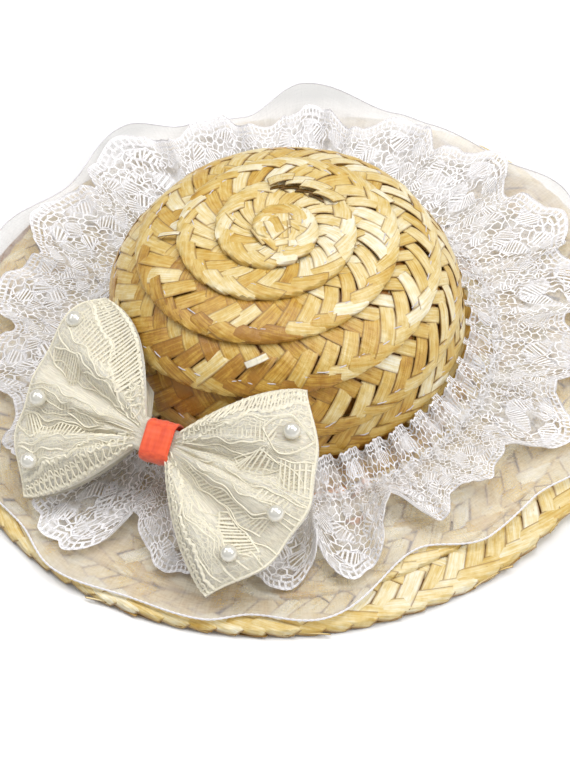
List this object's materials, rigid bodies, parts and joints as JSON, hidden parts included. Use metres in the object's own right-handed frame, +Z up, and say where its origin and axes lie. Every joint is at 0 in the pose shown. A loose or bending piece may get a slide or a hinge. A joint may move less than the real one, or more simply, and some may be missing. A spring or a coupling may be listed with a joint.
{
  "type": "small dog straw hat with lace ruffles and bow",
  "caption": "Small dog's sun hat of coiled straw plait with gathered lace and organza ruffles round the crown, a lace bow and half-round pearls.",
  "frame": {"origin": "on the surface that the brim rests on, under the middle of the crown", "axes": "+Z up through the crown, -Y towards the bow at the front, +X along the bow to the wearer's left"},
  "size_m": [0.2007, 0.2, 0.054],
  "materials": {
    "straw": "satin",
    "organza": "satin",
    "white_lace": "matte",
    "cream_lace": "matte",
    "ribbon": "satin",
    "pearl": "gloss"
  },
  "bodies": {
    "root": {"crown": "straw", "brim": "straw", "organza_ruffle": "organza", "lace_ruffle": "white_lace", "lace_bow": "cream_lace", "bow_knot": "ribbon", "pearl_1": "pearl", "pearl_2": "pearl", "pearl_3": "pearl", "pearl_4": "pearl", "pearl_5": "pearl", "pearl_6": "pearl"}
  },
  "joints": []
}
